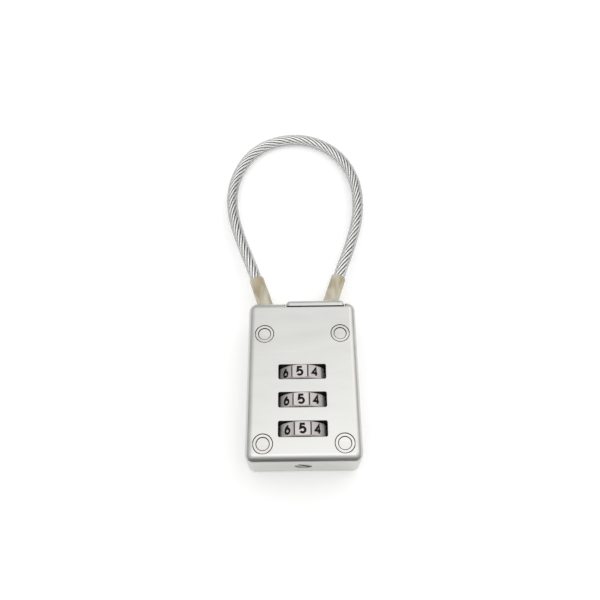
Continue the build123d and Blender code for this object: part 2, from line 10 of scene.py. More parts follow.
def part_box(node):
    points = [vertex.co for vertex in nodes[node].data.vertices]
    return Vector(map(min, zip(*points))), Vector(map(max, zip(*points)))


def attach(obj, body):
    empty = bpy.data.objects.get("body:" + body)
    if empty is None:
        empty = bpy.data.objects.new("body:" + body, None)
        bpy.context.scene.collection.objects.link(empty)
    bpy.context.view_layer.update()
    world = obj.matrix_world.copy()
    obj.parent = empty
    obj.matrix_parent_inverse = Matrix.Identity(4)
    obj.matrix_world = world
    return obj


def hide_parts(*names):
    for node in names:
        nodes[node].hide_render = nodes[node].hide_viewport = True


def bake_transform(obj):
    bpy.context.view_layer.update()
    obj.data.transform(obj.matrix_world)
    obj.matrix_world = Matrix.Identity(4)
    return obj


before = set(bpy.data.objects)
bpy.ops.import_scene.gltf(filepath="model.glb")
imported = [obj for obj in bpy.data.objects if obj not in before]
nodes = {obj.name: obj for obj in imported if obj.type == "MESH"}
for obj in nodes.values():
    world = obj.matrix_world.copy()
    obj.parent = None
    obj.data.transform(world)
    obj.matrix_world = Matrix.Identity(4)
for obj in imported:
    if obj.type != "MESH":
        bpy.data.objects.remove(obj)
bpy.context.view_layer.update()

MM = 0.001


# ---------------------------------------------------------------- camera

CAMERA_PLACE = Vector((-0.35, -53.83, 162.08)) * MM
# how far the camera looks down from level, turns from +Y towards +X, and rolls
CAMERA_DOWN = radians(62.7)
CAMERA_TURN = radians(-0.142)
CAMERA_ROLL = radians(-0.842)
# in millimetres on the sensor
SENSOR = 36.0
LENS = 35.32
CLIP_START = 5 * MM


def make_camera():
    """A camera that looks down at the lock from the side of its reset screw."""
    ahead = Vector(
        (
            sin(CAMERA_TURN) * cos(CAMERA_DOWN),
            cos(CAMERA_TURN) * cos(CAMERA_DOWN),
            -sin(CAMERA_DOWN),
        )
    )
    level = ahead.cross(Vector((0, 0, 1))).normalized()
    upright = level.cross(ahead)
    right = level * cos(CAMERA_ROLL) + upright * sin(CAMERA_ROLL)
    up = upright * cos(CAMERA_ROLL) - level * sin(CAMERA_ROLL)
    data = bpy.data.cameras.new("camera")
    data.sensor_width = SENSOR
    data.lens = LENS
    data.clip_start = CLIP_START
    camera = bpy.data.objects.new("camera", data)
    bpy.context.scene.collection.objects.link(camera)
    turn = Matrix((right, up, -ahead)).transposed().to_4x4()
    camera.matrix_world = Matrix.Translation(CAMERA_PLACE) @ turn
    bpy.context.scene.camera = camera


make_camera()


# ---------------------------------------------------------------- materials

METRES_TO_MM = 1000.0
# a Mix node's sockets for its factor and its two colours, and the one for the mixed colour
MIX_INPUTS = (0, 6, 7)
MIX_OUTPUT = 2


def set_range(span, low, high, start, end):
    """Sets a Map Range node to map start..end to low..high."""
    for socket, number in (("From Min", start), ("From Max", end), ("To Min", low), ("To Max", high)):
        span.inputs[socket].default_value = number


class Surface:
    """A procedural material: a Principled shader whose texture coordinates are in millimetres.

    Further inputs are given by their socket's name in small letters, as in specular_ior_level.
    """

    def __init__(self, name, color, metallic=0.0, roughness=0.5, **inputs):
        self.material = bpy.data.materials.new(name)
        self.material.use_nodes = True
        self.tree = self.material.node_tree
        self.shader = self.tree.nodes["Principled BSDF"]
        self.shader.inputs["Base Color"].default_value = (*color, 1)
        self.shader.inputs["Metallic"].default_value = metallic
        self.shader.inputs["Roughness"].default_value = roughness
        for label, value in inputs.items():
            socket = label.replace("_", " ").title().replace("Ior", "IOR")
            self.shader.inputs[socket].default_value = value

    def node(self, kind, **settings):
        """A new shader node of a kind, with its settings."""
        node = self.tree.nodes.new("ShaderNode" + kind)
        for name, value in settings.items():
            setattr(node, name, value)
        return node

    def link(self, source, target):
        self.tree.links.new(source, target)

    def place(self, stretch=(1, 1, 1)):
        """Object coordinates in millimetres. A small factor draws a texture out along its axis."""
        where = self.node("TexCoord")
        mapping = self.node("Mapping")
        mapping.inputs["Scale"].default_value = [METRES_TO_MM * factor for factor in stretch]
        self.link(where.outputs["Object"], mapping.inputs["Vector"])
        return mapping.outputs["Vector"]

    def noise(self, place, scale, detail=3.0, rough=0.5):
        """Noise with about scale blotches to a millimetre."""
        noise = self.node("TexNoise")
        noise.inputs["Scale"].default_value = scale
        noise.inputs["Detail"].default_value = detail
        noise.inputs["Roughness"].default_value = rough
        self.link(place, noise.inputs["Vector"])
        return noise.outputs["Fac"]

    def ramp(self, value, stops):
        """A colour ramp with stops of (position, colour)."""
        ramp = self.node("ValToRGB")
        elements = ramp.color_ramp.elements
        while len(elements) < len(stops):
            elements.new(0.5)
        for element, (position, color) in zip(elements, stops):
            element.position = position
            element.color = (*color, 1)
        self.link(value, ramp.inputs["Fac"])
        return ramp.outputs["Color"]

    def spread(self, value, low, high, start=0.3, end=0.7):
        """Maps a texture's start..end to low..high."""
        span = self.node("MapRange")
        set_range(span, low, high, start, end)
        self.link(value, span.inputs["Value"])
        return span.outputs["Result"]

    def mix(self, factor, first, second):
        """Mixes two colours by a factor; each of the three is a socket or a value."""
        mix = self.node("Mix", data_type="RGBA")
        for index, source in zip(MIX_INPUTS, (factor, first, second)):
            socket = mix.inputs[index]
            if isinstance(source, bpy.types.NodeSocket):
                self.link(source, socket)
            elif isinstance(source, tuple):
                socket.default_value = (*source, 1)
            else:
                socket.default_value = source
        return mix.outputs[MIX_OUTPUT]

    def within(self, low, high):
        """1 inside a box whose corners are given in millimetres, and 0 outside it."""
        where = self.node("TexCoord")
        mapping = self.node("Mapping")
        halves = [(top - bottom) / 2 for bottom, top in zip(low, high)]
        mapping.inputs["Scale"].default_value = [METRES_TO_MM / half for half in halves]
        mapping.inputs["Location"].default_value = [
            -(bottom + top) / 2 / half for bottom, top, half in zip(low, high, halves)
        ]
        size = self.node("VectorMath", operation="ABSOLUTE")
        split = self.node("SeparateXYZ")
        self.link(where.outputs["Object"], mapping.inputs["Vector"])
        self.link(mapping.outputs["Vector"], size.inputs[0])
        self.link(size.outputs["Vector"], split.inputs[0])
        first = self.node("Math", operation="MAXIMUM")
        second = self.node("Math", operation="MAXIMUM")
        inside = self.node("Math", operation="LESS_THAN")
        inside.inputs[1].default_value = 1.0
        self.link(split.outputs["X"], first.inputs[0])
        self.link(split.outputs["Y"], first.inputs[1])
        self.link(first.outputs[0], second.inputs[0])
        self.link(split.outputs["Z"], second.inputs[1])
        self.link(second.outputs[0], inside.inputs[0])
        return inside.outputs[0]

    def color(self, source):
        self.link(source, self.shader.inputs["Base Color"])

    def rough(self, source):
        self.link(source, self.shader.inputs["Roughness"])

    def bump(self, *layers):
        """Bump layers of (height socket, depth in millimetres), one on top of the other."""
        normal = None
        for height, depth in layers:
            bump = self.node("Bump")
            bump.inputs["Strength"].default_value = 1.0
            bump.inputs["Distance"].default_value = depth * MM
            self.link(height, bump.inputs["Height"])
            if normal is not None:
                self.link(normal, bump.inputs["Normal"])
            normal = bump.outputs["Normal"]
        self.link(normal, self.shader.inputs["Normal"])


# Brushed metal: the scales of its noises in blotches to a millimetre, the factors that draw them out
# along the brushing, the depth of its clouds in millimetres, its specks' tone and the near black of its
# painted shade.
LINE_SCALE = 3.2
CLOUD_SCALE = 0.22
SPECK_SCALE = 2.6
LINE_LONG = 0.05
CLOUD_LONG = 0.25
CLOUD_DEEP = 0.008
SPECK_TONE = 0.55
# near black painted shade for recesses, slots and grooves
SHADE_BLACK = (0.012, 0.012, 0.013)


def brushed(name, color, roughness, along="x", shade=0.06, line=0.0012, metallic=1.0, shade_boxes=()):
    """Satin metal with fine brush lines along one axis, faint clouds and a few darker specks.

    shade is how much the clouds differ from the colour, and line the depth of the brush lines in
    millimetres. The last argument holds boxes in millimetres inside which the metal is painted near black as
    shade, as in slots and windows.
    """
    surface = Surface(name, color, metallic=metallic, roughness=roughness)
    line_stretch = [LINE_LONG if axis == along else 1 for axis in "xyz"]
    cloud_stretch = [CLOUD_LONG if axis == along else 1 for axis in "xyz"]
    lines = surface.noise(surface.place(line_stretch), LINE_SCALE, detail=6.0, rough=0.65)
    clouds = surface.noise(surface.place(cloud_stretch), CLOUD_SCALE, detail=5.0)
    specks = surface.noise(surface.place(), SPECK_SCALE, detail=2.0)
    darker = tuple(part * (1 - 2.2 * shade) for part in color)
    lighter = tuple(min(1.0, part * (1 + shade)) for part in color)
    speck_color = tuple(part * SPECK_TONE for part in color)
    tone = surface.ramp(clouds, [(0.3, darker), (0.7, lighter)])
    tone = surface.mix(surface.spread(lines, 0, 0.35), tone, darker)
    tone = surface.mix(surface.spread(specks, 0, 0.5, 0.72, 0.8), tone, speck_color)
    # painted shade: the metal inside each box is coloured near black for the shade in recesses, slots and
    # grooves
    for low, high in shade_boxes:
        tone = surface.mix(surface.within(low, high), tone, SHADE_BLACK)
    surface.color(tone)
    surface.rough(surface.spread(clouds, roughness - 0.05, roughness + 0.06))
    surface.bump((clouds, CLOUD_DEEP), (lines, line))
    return surface.material


# The case, in millimetres, and the boxes in which its recesses are dark: painted shade, near black metal for
# the shade in the recesses and notch, the screw's slot, the rivets' grooves and under the plug.
DEPTH = 13.5
TOP = 22.275
FAR = 100.0
RECESSES = ((-13.0, -20.2, 0), (13.0, 20.2, DEPTH - 0.12))
NOTCH = ((-4.9, 20.6, 0), (12.4, TOP + 1, DEPTH - 0.15))
UNDER_PLUG = ((-FAR, 20.9, 0), (FAR, 21.12, DEPTH - 0.15))
SLOT = ((-FAR, -22.05, 0), (FAR, -21.0, DEPTH))
RIVET_GROOVES = ((-FAR, -FAR, 12.8), (FAR, FAR, 13.2))

MATERIALS = {
    "case": brushed(
        "satin_nickel", (0.635, 0.632, 0.61), 0.33, shade=0.035, line=0.002, shade_boxes=[RECESSES, NOTCH]
    ),
    "cover": brushed("cover_nickel", (0.60, 0.60, 0.585), 0.38, along="y"),
    "rivet": brushed("rivet_nickel", (0.66, 0.646, 0.62), 0.30, shade=0.08, shade_boxes=[RIVET_GROOVES]),
    "frame": brushed("black_zinc", (0.018, 0.018, 0.02), 0.6, metallic=0.0),
    "dial": brushed(
        "dial_nickel", (0.77, 0.725, 0.705), 0.5, along="y", shade=0.12, line=0.004, metallic=0.2
    ),
    "hub": brushed("hub_brass", (0.62, 0.47, 0.24), 0.35, along="y"),
    "spindle": brushed("spindle_steel", (0.52, 0.52, 0.53), 0.3, along="z"),
    "spring": brushed("spring_steel", (0.5, 0.5, 0.52), 0.28),
    "screw": brushed("screw_steel", (0.42, 0.41, 0.39), 0.36, shade=0.12, shade_boxes=[SLOT]),
    "plug": brushed("plug_nickel", (0.66, 0.657, 0.64), 0.30, shade_boxes=[UNDER_PLUG]),
    "stem": brushed("stem_steel", (0.56, 0.56, 0.57), 0.25, along="z"),
    "ferrule": brushed("ferrule_brass", (0.62, 0.50, 0.30), 0.35),
}

VINYL_STRETCH = (1, 0.3, 1)
VINYL_CLOUDS = 0.5
VINYL_SKIN = 0.6
SKIN_DEEP = 0.05


def soft_plastic(name, color, cloud_color, roughness, **inputs):
    """Soft vinyl with long faint clouds in its colour and a slightly uneven skin."""
    surface = Surface(name, color, roughness=roughness, ior=1.5, **inputs)
    haze = surface.noise(surface.place(VINYL_STRETCH), VINYL_CLOUDS, detail=1.0)
    skin = surface.noise(surface.place(VINYL_STRETCH), VINYL_SKIN, detail=1.0)
    surface.color(surface.mix(surface.spread(haze, 0, 1, 0.35, 0.6), color, cloud_color))
    surface.rough(surface.spread(skin, roughness * 0.7, roughness * 1.5))
    surface.bump((skin, SKIN_DEEP))
    return surface


# how much of the jacket is seen where it is looked through squarely and along its outline, and the
# slants between which it changes
JACKET_CLEAR = 0.03
JACKET_OUTLINE = 0.8
JACKET_SLANTS = (0.44, 0.8)


def jacket_vinyl():
    """Clear vinyl, nearly unseen where it is looked through squarely and grey along its outline."""
    surface = soft_plastic("jacket_pvc", (0.36, 0.36, 0.355), (0.44, 0.44, 0.43), 0.08)
    edge = surface.node("LayerWeight")
    edge.inputs["Blend"].default_value = 0.5
    alpha = surface.spread(edge.outputs["Facing"], JACKET_CLEAR, JACKET_OUTLINE, *JACKET_SLANTS)
    surface.link(alpha, surface.shader.inputs["Alpha"])
    return surface.material


def sleeve_vinyl():
    """Yellowed vinyl that lets a little light through."""
    surface = soft_plastic(
        "sleeve_pvc", (0.80, 0.75, 0.60), (0.56, 0.48, 0.32), 0.16, transmission_weight=0.25
    )
    return surface.material


def wire_steel():
    """Bright drawn wire, with painted shade where the wires touch: its colour goes near black towards each
    wire's inner side.

    The mesh's crown value is 1 along the outermost line of each wire and -1 along its innermost.
    """
    surface = Surface("rope_steel", (0.8, 0.8, 0.8), metallic=1.0, roughness=0.28)
    crown = surface.node("Attribute", attribute_name="crown")
    streaks = surface.noise(surface.place(), 2.5, detail=4.0)
    bright = surface.ramp(streaks, [(0.35, (0.9, 0.9, 0.88)), (0.65, (0.99, 0.99, 0.98))])
    # painted shade: the colour goes near black towards each wire's inner side, where the wires touch
    painted_shade_factor = surface.spread(crown.outputs["Fac"], 0, 1, 0.25, 0.72)
    surface.color(surface.mix(painted_shade_factor, (0.05, 0.05, 0.052), bright))
    surface.rough(surface.spread(streaks, 0.22, 0.34))
    return surface.material


def digit_enamel():
    """Matt black enamel in the dials' digits."""
    surface = Surface("digit_enamel", (0.012, 0.012, 0.013), roughness=0.6, ior=1.25)
    grain = surface.noise(surface.place(), 14.0)
    surface.color(surface.mix(surface.spread(grain, 0, 1), (0.006, 0.006, 0.007), (0.018, 0.018, 0.019)))
    return surface.material


MATERIALS["jacket"] = jacket_vinyl()
MATERIALS["sleeve"] = sleeve_vinyl()
MATERIALS["rope"] = wire_steel()
PAINT = digit_enamel()

for node in nodes.values():
    slot = node.material_slots[0]
    slot.material = MATERIALS[slot.material.name]


# ---------------------------------------------------------------- the cable's line

# In millimetres. Each end leans outwards and is straight, from a tail inside the lock to a stretch outside.
CABLE_Z = 7.3
LEAN = radians(17.4)
LEFT_EXIT = Vector((-10.0, TOP, CABLE_Z))
RIGHT_EXIT = Vector((7.7, 22.95, CABLE_Z))
LEFT_TAIL = 6.4
RIGHT_TAIL = 5.2
LEFT_STRAIGHT = 11.2
RIGHT_STRAIGHT = 10.4
CURVE_STEPS = 40
LOOP = [
    (-19.7, 49.8, 5.8),
    (-22.95, 63.4, 4.0),
    (-22.15, 76.4, 2.5),
    (-16.3, 88.2, 1.9),
    (-6.3, 93.4, 1.85),
    (4.6, 92.8, 1.85),
    (13.8, 85.9, 2.0),
    (18.8, 74.2, 2.7),
    (19.0, 59.9, 4.2),
    (16.0, 47.4, 5.8),
]


def outward(side):
    """The direction in which the cable leaves the lock, -1 for its left end and 1 for its right end."""
    return Vector((side * sin(LEAN), cos(LEAN), 0))


ROUTE = [
    LEFT_EXIT - outward(-1) * LEFT_TAIL,
    LEFT_EXIT + outward(-1) * LEFT_STRAIGHT,
    *[Vector(point) for point in LOOP],
    RIGHT_EXIT + outward(1) * RIGHT_STRAIGHT,
    RIGHT_EXIT - outward(1) * RIGHT_TAIL,
]


class Line:
    """The points of a smooth curve in metres, with the distance of each from the start."""

    def __init__(self, points):
        self.points = points
        self.distances = [0.0]
        for before, after in zip(points, points[1:]):
            self.distances.append(self.distances[-1] + (after - before).length)
        self.length = self.distances[-1]

    def frame_at(self, distance):
        """The point at a distance, the level direction square to the line there, and the third direction."""
        index = 1
        while index < len(self.points) - 1 and self.distances[index] < distance:
            index += 1
        before, after = self.points[index - 1], self.points[index]
        start, end = self.distances[index - 1], self.distances[index]
        share = (distance - start) / (end - start)
        earlier = self.points[max(index - 2, 0)]
        later = self.points[min(index + 1, len(self.points) - 1)]
        ahead = (after - earlier).lerp(later - before, share).normalized()
        level = ahead.cross(Vector((0, 0, 1))).normalized()
        return before.lerp(after, share), level, ahead.cross(level)


def even_steps(start, end, step):
    """Even distances from start to end, about a step apart."""
    count = max(1, round((end - start) / step))
    return [start + (end - start) * index / count for index in range(count + 1)]


def smooth_line(route):
    """The NURBS curve over a route's points, read back as a Line in metres."""
    curve = bpy.data.curves.new("route", "CURVE")
    curve.dimensions = "3D"
    curve.resolution_u = CURVE_STEPS
    spline = curve.splines.new("NURBS")
    spline.points.add(len(route) - 1)
    for control, point in zip(spline.points, route):
        control.co = (*(point * MM), 1)
    spline.order_u = 3
    spline.use_endpoint_u = True
    holder = bpy.data.objects.new("route", curve)
    mesh = bpy.data.meshes.new_from_object(holder)
    points = [vertex.co.copy() for vertex in mesh.vertices]
    bpy.data.meshes.remove(mesh)
    bpy.data.objects.remove(holder)
    bpy.data.curves.remove(curve)
    return Line(points)


cable_line = smooth_line(ROUTE)


# ---------------------------------------------------------------- mesh helpers


def new_piece(name, vertices, faces, material, sharp=None):
    """A smooth-shaded mesh object; edges sharper than the given degrees stay crisp."""
    mesh = bpy.data.meshes.new(name)
    mesh.from_pydata([tuple(vertex) for vertex in vertices], [], faces)
    mesh.materials.append(material)
    mesh.shade_smooth()
    if sharp is not None:
        mesh.set_sharp_from_angle(angle=radians(sharp))
    mesh.validate()
    piece = bpy.data.objects.new(name, mesh)
    bpy.context.scene.collection.objects.link(piece)
    return piece


def ring_faces(rings, sides, first=0):
    """The faces between successive rings of so many sides, whose vertices begin at first."""
    faces = []
    for ring in range(rings - 1):
        base = first + ring * sides
        for side in range(sides):
            other = (side + 1) % sides
            faces.append((base + side, base + other, base + sides + other, base + sides + side))
    return faces


def swept(line, profile, sides):
    """Vertices and faces of a tube whose section along a line is a closed profile of (distance, radius)."""
    vertices = []
    for distance, radius in [*profile, profile[0]]:
        centre, level, third = line.frame_at(distance)
        for side in range(sides):
            angle = 2 * pi * side / sides
            vertices.append(centre + (level * cos(angle) + third * sin(angle)) * radius)
    vertices = vertices[:-sides]
    count = len(profile) * sides
    faces = [tuple(corner % count for corner in face) for face in ring_faces(len(profile) + 1, sides)]
    return vertices, faces


# ---------------------------------------------------------------- the steel rope

OUTER_WIRES = 8
CORE_WIRES = 3
CORE_PHASE = 0.3
ROPE_RADIUS = 1.45 * MM
LAY_LENGTH = 20.6 * MM
WIRE_STEP = 0.4 * MM
WIRE_SIDES = 12


def wires(count, ring, radius, phase, vertices, faces):
    """Adds a layer of wires that wind round the cable's line with a right-hand lay."""
    distances = even_steps(0, cable_line.length, WIRE_STEP)
    for wire in range(count):
        first = len(vertices)
        centres = []
        for distance in distances:
            point, level, third = cable_line.frame_at(distance)
            angle = 2 * pi * (distance / LAY_LENGTH + wire / count) + phase
            centres.append(point + (level * cos(angle) + third * sin(angle)) * ring)
        for index, (centre, distance) in enumerate(zip(centres, distances)):
            earlier = centres[max(index - 1, 0)]
            later = centres[min(index + 1, len(centres) - 1)]
            ahead = (later - earlier).normalized()
            outer = centre - cable_line.frame_at(distance)[0]
            across = ahead.cross(outer).normalized()
            outer = across.cross(ahead)
            for side in range(WIRE_SIDES):
                turn = 2 * pi * side / WIRE_SIDES
                vertices.append(centre + (outer * cos(turn) + across * sin(turn)) * radius)
        faces += ring_faces(len(distances), WIRE_SIDES, first)
        faces.append(tuple(first + side for side in reversed(range(WIRE_SIDES))))
        faces.append(tuple(len(vertices) - WIRE_SIDES + side for side in range(WIRE_SIDES)))


def make_rope():
    """The wires as one piece: a layer in which neighbours touch, round a core of three."""
    vertices, faces = [], []
    share = sin(pi / OUTER_WIRES)
    wire_radius = ROPE_RADIUS * share / (1 + share)
    wires(OUTER_WIRES, ROPE_RADIUS - wire_radius, wire_radius, 0.0, vertices, faces)
    core_radius = (ROPE_RADIUS - 2 * wire_radius) / (1 + 1 / sin(pi / CORE_WIRES))
    wires(CORE_WIRES, core_radius / sin(pi / CORE_WIRES), core_radius, CORE_PHASE, vertices, faces)
    piece = new_piece("steel_rope", vertices, faces, MATERIALS["rope"])
    # crown drives the painted shade between the wires in the rope's material
    crown = piece.data.attributes.new("crown", "FLOAT", "POINT")
    for index, value in enumerate(crown.data):
        value.value = cos(2 * pi * (index % WIRE_SIDES) / WIRE_SIDES)
    return piece


rope = make_rope()


# ---------------------------------------------------------------- the clear jacket and the two sleeves

JACKET_RADIUS = 1.75 * MM
JACKET_INSIDE = 1.48 * MM
JACKET_STEP = 0.5 * MM
JACKET_SIDES = 32
JACKET_SHARP = 50
PATH_STEP = 1.0 * MM
# where the jacket ends inside the lock, in millimetres from the cable's exits
LEFT_FERRULE = 3.6
RIGHT_FERRULE = 2.4
jacket_start = (LEFT_TAIL - LEFT_FERRULE) * MM
jacket_end = cable_line.length - (RIGHT_TAIL - RIGHT_FERRULE) * MM


def make_jacket():
    """The clear tube round the rope."""
    distances = even_steps(jacket_start, jacket_end, JACKET_STEP)
    profile = [(distance, JACKET_RADIUS) for distance in distances]
    profile += [(distance, JACKET_INSIDE) for distance in reversed(distances)]
    vertices, faces = swept(cable_line, profile, JACKET_SIDES)
    return new_piece("cable_jacket_clear", vertices, faces, MATERIALS["jacket"], sharp=JACKET_SHARP)


jacket = make_jacket()
jacket.visible_shadow = False

SLEEVE_RADIUS = 2.2 * MM
SLEEVE_BORE = 1.8 * MM
SLEEVE_ROOT = 1.0 * MM
SLEEVE_LONG = {"left": 11.5 * MM, "right": 11.2 * MM}
SLEEVE_SIDES = 40
SLEEVE_SHARP = 60
MOUTH_ROUND = 0.32 * MM
MOUTH_STEPS = 4
MOUTH_SUNK = 0.06 * MM


def make_sleeve(name, exit_at, ahead):
    """A soft tube round the cable's end, with a rounded mouth.

    exit_at is the place on the line where the cable leaves the lock, and ahead is 1 or -1, the way out.
    """
    mouth = SLEEVE_LONG[name]
    outside = even_steps(-SLEEVE_ROOT, mouth - MOUTH_ROUND, JACKET_STEP)
    inside = even_steps(mouth - MOUTH_SUNK, -SLEEVE_ROOT, -JACKET_STEP)
    profile = [(distance, SLEEVE_RADIUS) for distance in outside]
    for step in range(1, MOUTH_STEPS + 1):
        angle = pi / 2 * step / MOUTH_STEPS
        sunk = MOUTH_ROUND * (1 - sin(angle))
        drawn_in = MOUTH_ROUND * (1 - cos(angle))
        profile.append((mouth - sunk, SLEEVE_RADIUS - drawn_in))
    profile += [(distance, SLEEVE_BORE) for distance in inside]
    profile = [(exit_at + ahead * distance, radius) for distance, radius in profile]
    if ahead < 0:
        profile.reverse()
    vertices, faces = swept(cable_line, profile, SLEEVE_SIDES)
    return new_piece(f"sleeve_{name}_soft", vertices, faces, MATERIALS["sleeve"], sharp=SLEEVE_SHARP)


sleeves = {
    "left": make_sleeve("left", LEFT_TAIL * MM, 1),
    "right": make_sleeve("right", cable_line.length - RIGHT_TAIL * MM, -1),
}

for name, body in (("left", "housing"), ("right", "plug")):
    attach(sleeves[name], body)
    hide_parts(f"sleeve_{name}")

# the rope and the jacket take the places of the imported cable and jacket; over the loop's left side the
# cable runs nearly along the plug's slide
for piece, node_name, slot_name in ((rope, "cable", "rope"), (jacket, "cable_jacket", "jacket")):
    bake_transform(piece)
    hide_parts(node_name)

path_steps = even_steps(jacket_start, jacket_end, PATH_STEP)
jacket_path = [cable_line.frame_at(distance)[0] for distance in path_steps]


# ---------------------------------------------------------------- the dials

# In millimetres. The dials' turns are in degrees; at 0 the facet with the front digit faces straight out.
AXIS = Vector((-0.19, 0, 7.4))
DIAL_TURNS = {"top": -5.5, "middle": -3.0, "bottom": -0.5}
DIAL_RADIUS = 7.0
DIAL_SHARP = 28
FACETS = 10
FACET_ANGLE = 2 * pi / FACETS
FACET_OUT = DIAL_RADIUS * cos(FACET_ANGLE / 2)
FRONT_DIGIT = 5
DIGIT_SUNK = 0.12
DIGIT_PROUD = 0.015
GROOVE_HALF = 0.26
GROOVE_DEEP = 0.30
GROOVE_REACH = 3.0
# near black nickel for the grooves' walls: painted shade between the facets
GROOVE_SHADE = brushed("groove_shaded_nickel", (0.20, 0.19, 0.185), 0.45, along="y")
MERGE_WITHIN = 0.0005 * MM

# The strokes' thickness, and half the width and height of a digit along the middle of its strokes.
STROKE = 0.62
WIDE = (1.95 - STROKE) / 2
TALL = (2.8 - STROKE) / 2
ARC_STEP = 12
MITRE_LIMIT = 0.45
SAME_PLACE = 1e-6


def dial_frame_at(angle):
    """The directions right, up and out of the dial at an angle from its front, turning towards +X."""
    return Vector((cos(angle), 0, -sin(angle))), Vector((0, 1, 0)), Vector((sin(angle), 0, cos(angle)))


def arc(x, y, wide, tall, start, end):
    """Points of an elliptical arc about a middle point, its angles in degrees from +X."""
    count = max(2, round(abs(end - start) / ARC_STEP))
    angles = [radians(start + (end - start) * step / count) for step in range(count + 1)]
    return [(x + wide * cos(angle), y + tall * sin(angle)) for angle in angles]


# The middles of a digit's upper and lower bowls and of the bowl of the 6, and the strokes of each digit
# as paths in millimetres from the digit's middle.
UPPER = TALL - 0.56
LOWER = 0.62 - TALL
BOWL = WIDE - TALL
SIX = [
    arc(0, BOWL, WIDE, WIDE, 180, -180),
    arc(0.9, BOWL, 0.9 + WIDE, 2 * TALL - WIDE - 0.02, 180, 112),
]
STROKES = {
    0: [arc(0, 0, WIDE, TALL, 180, -180)],
    1: [[(-0.42, TALL - 0.42), (0.08, TALL), (0.08, -TALL)]],
    2: [arc(0, TALL - WIDE, WIDE, WIDE, 168, -38) + [(-WIDE, -TALL), (WIDE, -TALL)]],
    3: [arc(0, UPPER, 0.58, 0.56, 150, -78), arc(0, LOWER, WIDE, 0.62, 78, -155)],
    4: [[(0.34, -TALL), (0.34, TALL), (-WIDE - 0.05, -0.42), (WIDE + 0.12, -0.42)]],
    5: [[(WIDE - 0.08, TALL), (-0.46, TALL), (-0.58, 0.02)] + arc(0, LOWER + 0.03, WIDE, 0.68, 128, -150)],
    6: SIX,
    7: [[(-WIDE, TALL), (WIDE, TALL), (-0.22, -TALL)]],
    8: [arc(0, UPPER, 0.56, 0.54, 180, -180), arc(0, LOWER, WIDE, 0.62, 180, -180)],
    9: [[(-x, -y) for x, y in stroke] for stroke in SIX],
}


def ribbon(path):
    """The two edges of a stroke along a path, mitred at its corners."""
    left, right = [], []
    points = [Vector(point) for point in path]
    closed = (points[0] - points[-1]).length < SAME_PLACE
    before = [points[-2] if closed else points[0], *points[:-1]]
    after = [*points[1:], points[1] if closed else points[-1]]
    for earlier, point, later in zip(before, points, after):
        incoming = point - earlier
        outgoing = later - point
        incoming = (incoming if incoming.length else outgoing).normalized()
        outgoing = (outgoing if outgoing.length else incoming).normalized()
        middle = (incoming + outgoing).normalized()
        side = Vector((-middle.y, middle.x)) * (STROKE / 2 / max(MITRE_LIMIT, middle.dot(incoming)))
        left.append(point + side)
        right.append(point - side)
    return left, right


def closed_piece(name, vertices, faces, material):
    """A closed mesh object from places in millimetres, with its double vertices merged."""
    piece = new_piece(name, [vertex * MM for vertex in vertices], faces, material)
    shape = bmesh.new()
    shape.from_mesh(piece.data)
    bmesh.ops.remove_doubles(shape, verts=shape.verts, dist=MERGE_WITHIN)
    bmesh.ops.recalc_face_normals(shape, faces=shape.faces)
    shape.to_mesh(piece.data)
    shape.free()
    return piece


def cut(piece, tool):
    """Cuts the tool's shape out of a piece; the cut walls take the tool's material."""
    modifier = piece.modifiers.new("cut", "BOOLEAN")
    modifier.operation = "DIFFERENCE"
    modifier.solver = "EXACT"
    modifier.material_mode = "TRANSFER"
    modifier.object = tool
    evaluated = piece.evaluated_get(bpy.context.evaluated_depsgraph_get())
    shape = bpy.data.meshes.new_from_object(evaluated)
    piece.modifiers.remove(modifier)
    piece.data = shape
    bpy.data.objects.remove(tool)


def add_shape(piece, vertices, faces, material):
    """Adds a second shape with its own material to a piece's mesh; its places are in millimetres."""
    piece.data.materials.append(material)
    shape = bmesh.new()
    shape.from_mesh(piece.data)
    corners = [shape.verts.new(vertex * MM) for vertex in vertices]
    for face in faces:
        added = shape.faces.new([corners[corner] for corner in face])
        added.material_index = len(piece.data.materials) - 1
    shape.to_mesh(piece.data)
    shape.free()


def grooves(middle, turn):
    """The shape to cut out for a V-shaped groove along each edge between two facets; its near black nickel
    gives the cut walls painted shade.
    """
    vertices, faces = [], []
    for facet in range(FACETS):
        right, up, out = dial_frame_at(turn + FACET_ANGLE * (facet + 0.5))
        section = [
            out * (DIAL_RADIUS - GROOVE_DEEP),
            right * GROOVE_HALF * 2 + out * (DIAL_RADIUS + GROOVE_DEEP),
            right * GROOVE_HALF * -2 + out * (DIAL_RADIUS + GROOVE_DEEP),
        ]
        first = len(vertices)
        for end in (-1, 1):
            vertices += [middle + point + up * (GROOVE_REACH * end) for point in section]
        faces += [(first, first + 1, first + 2), (first + 5, first + 4, first + 3)]
        for near, far in ((0, 1), (1, 2), (2, 0)):
            faces.append((first + near, first + 3 + near, first + 3 + far, first + far))
    return closed_piece("grooves", vertices, faces, GROOVE_SHADE)


def digits(middle, turn):
    """Vertices and faces of the ten painted digits, let into the facets and counting down towards +X."""
    vertices, faces = [], []
    for facet in range(FACETS):
        right, up, out = dial_frame_at(turn + FACET_ANGLE * facet)
        for path in STROKES[(FRONT_DIGIT - facet) % FACETS]:
            first = len(vertices)
            for edges in zip(*ribbon(path)):
                for depth in (FACET_OUT - DIGIT_SUNK, FACET_OUT + DIGIT_PROUD):
                    vertices += [middle + right * edge.x + up * edge.y + out * depth for edge in edges]
            for step in range(len(path) - 1):
                base = first + 4 * step
                for near, far in ((2, 3), (3, 1), (1, 0), (0, 2)):
                    faces.append((base + near, base + far, base + 4 + far, base + 4 + near))
            last = len(vertices) - 4
            faces += [(first, first + 1, first + 3, first + 2), (last + 2, last + 3, last + 1, last)]
    return vertices, faces


